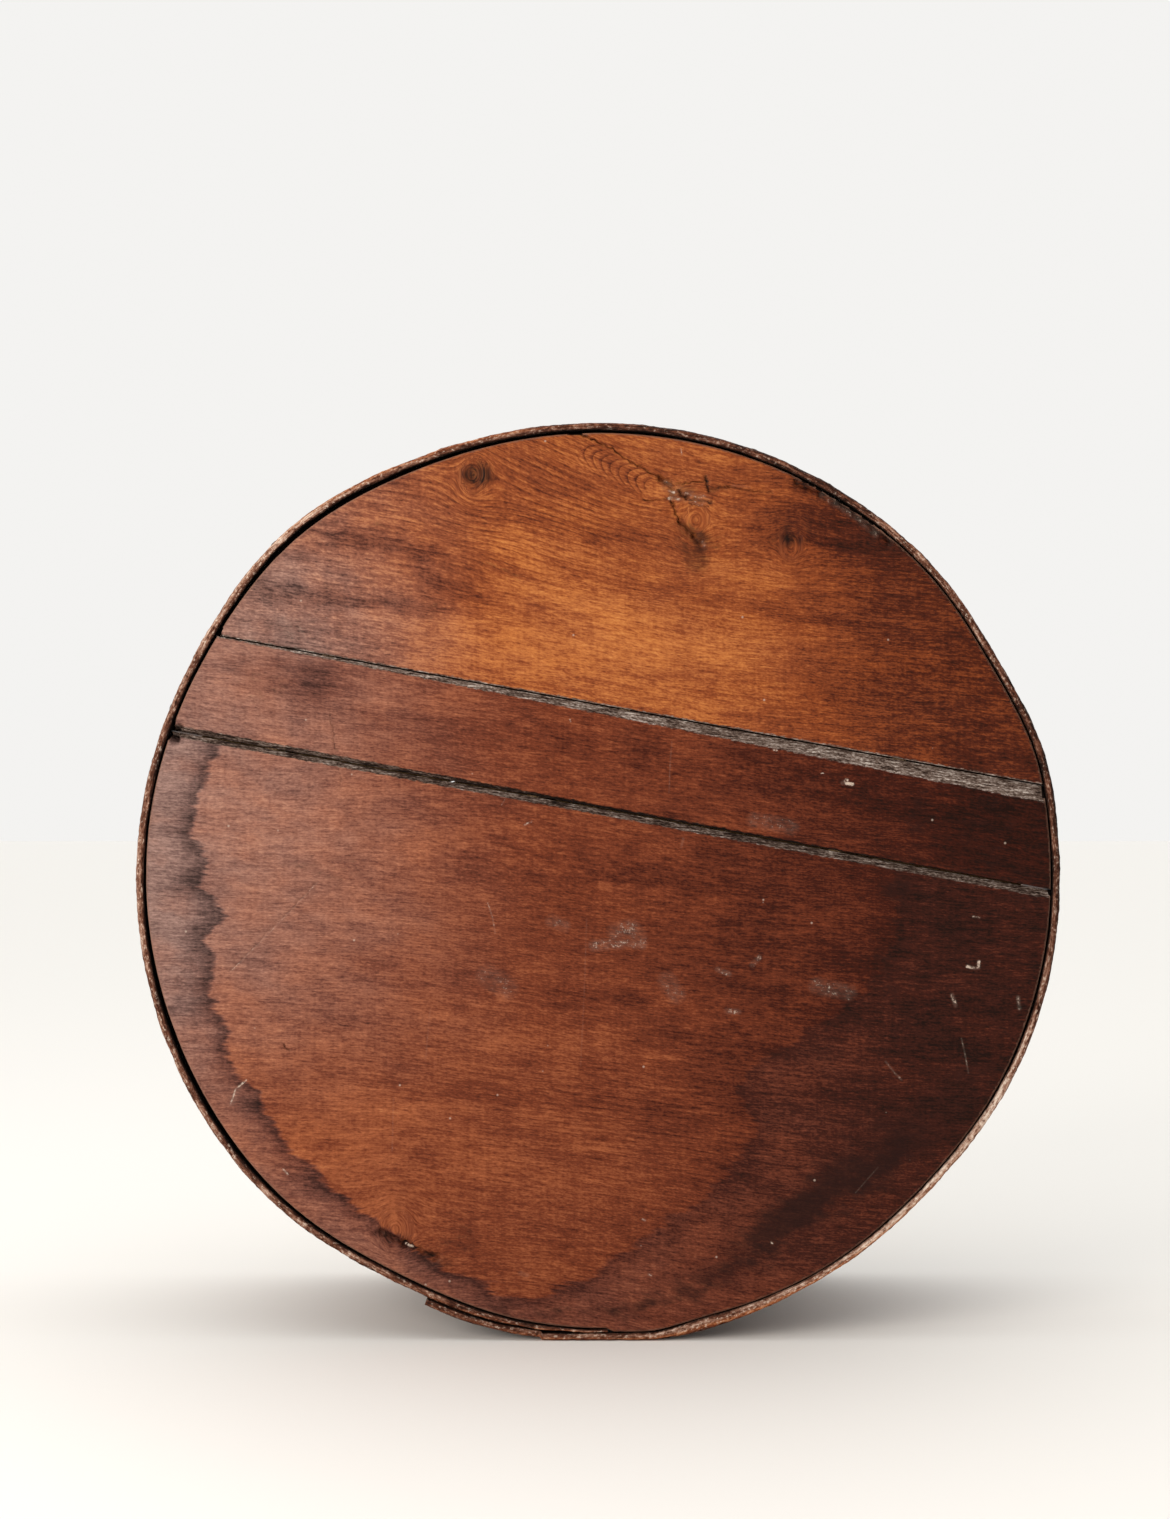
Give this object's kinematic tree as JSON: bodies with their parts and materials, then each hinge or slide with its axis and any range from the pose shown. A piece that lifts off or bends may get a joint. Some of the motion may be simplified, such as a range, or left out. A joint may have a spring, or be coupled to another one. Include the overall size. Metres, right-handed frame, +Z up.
{
  "type": "cheese mold",
  "caption": "Round bentwood cheese mold: a thin band bent and lapped on itself, a plank base let into one end, and a loose battened follower inside.",
  "frame": {"origin": "middle of the small flat under the lap, where the mold stands on its rim, halfway along its depth", "axes": "+Z up, +Y along the band's axis out of the open mouth, so the outside of the base faces -Y"},
  "size_m": [0.4052, 0.15, 0.3993],
  "materials": {
    "base_boards": "old waxed softwood, red-brown, water-stained",
    "bent_band": "old steam-bent wood, grey-brown, worn pale on the rim",
    "seam_dowels": "raw hardwood",
    "follower_wood": "scrubbed raw softwood",
    "wrought_nails": "rusted wrought iron"
  },
  "bodies": {
    "mold": {"bent_band": "bent_band", "base_upper_board": "base_boards", "base_middle_board": "base_boards", "base_lower_board": "base_boards", "upper_seam_dowel_1": "seam_dowels", "upper_seam_dowel_2": "seam_dowels", "upper_seam_dowel_3": "seam_dowels", "lower_seam_dowel_1": "seam_dowels", "lower_seam_dowel_2": "seam_dowels", "lower_seam_dowel_3": "seam_dowels", "upper_board_nail_1": "wrought_nails", "upper_board_nail_2": "wrought_nails", "upper_board_nail_3": "wrought_nails", "upper_board_nail_4": "wrought_nails", "upper_board_nail_5": "wrought_nails", "middle_board_nail_1": "wrought_nails", "middle_board_nail_2": "wrought_nails", "middle_board_nail_3": "wrought_nails", "middle_board_nail_4": "wrought_nails", "lower_board_nail_1": "wrought_nails", "lower_board_nail_2": "wrought_nails", "lower_board_nail_3": "wrought_nails", "lower_board_nail_4": "wrought_nails", "lower_board_nail_5": "wrought_nails", "lower_board_nail_6": "wrought_nails", "lower_board_nail_7": "wrought_nails", "lower_board_nail_8": "wrought_nails", "lower_board_nail_9": "wrought_nails", "lower_board_nail_10": "wrought_nails", "lap_nail_1": "wrought_nails", "lap_nail_2": "wrought_nails", "lap_nail_3": "wrought_nails", "lap_nail_4": "wrought_nails", "lap_nail_5": "wrought_nails", "lap_nail_6": "wrought_nails", "lap_nail_7": "wrought_nails", "lap_nail_8": "wrought_nails"},
    "follower": {"follower_upper_board": "follower_wood", "follower_middle_board": "follower_wood", "follower_lower_board": "follower_wood", "follower_left_batten": "follower_wood", "follower_right_batten": "follower_wood", "left_batten_nail_1": "wrought_nails", "left_batten_nail_2": "wrought_nails", "left_batten_nail_3": "wrought_nails", "left_batten_nail_4": "wrought_nails", "left_batten_nail_5": "wrought_nails", "left_batten_nail_6": "wrought_nails", "right_batten_nail_1": "wrought_nails", "right_batten_nail_2": "wrought_nails", "right_batten_nail_3": "wrought_nails", "right_batten_nail_4": "wrought_nails", "right_batten_nail_5": "wrought_nails", "right_batten_nail_6": "wrought_nails"}
  },
  "joints": [
    {"name": "follower_lift", "type": "slide", "parent": "mold", "child": "follower", "axis": [0, 1, 0], "range_m": [0, 0.15]}
  ]
}
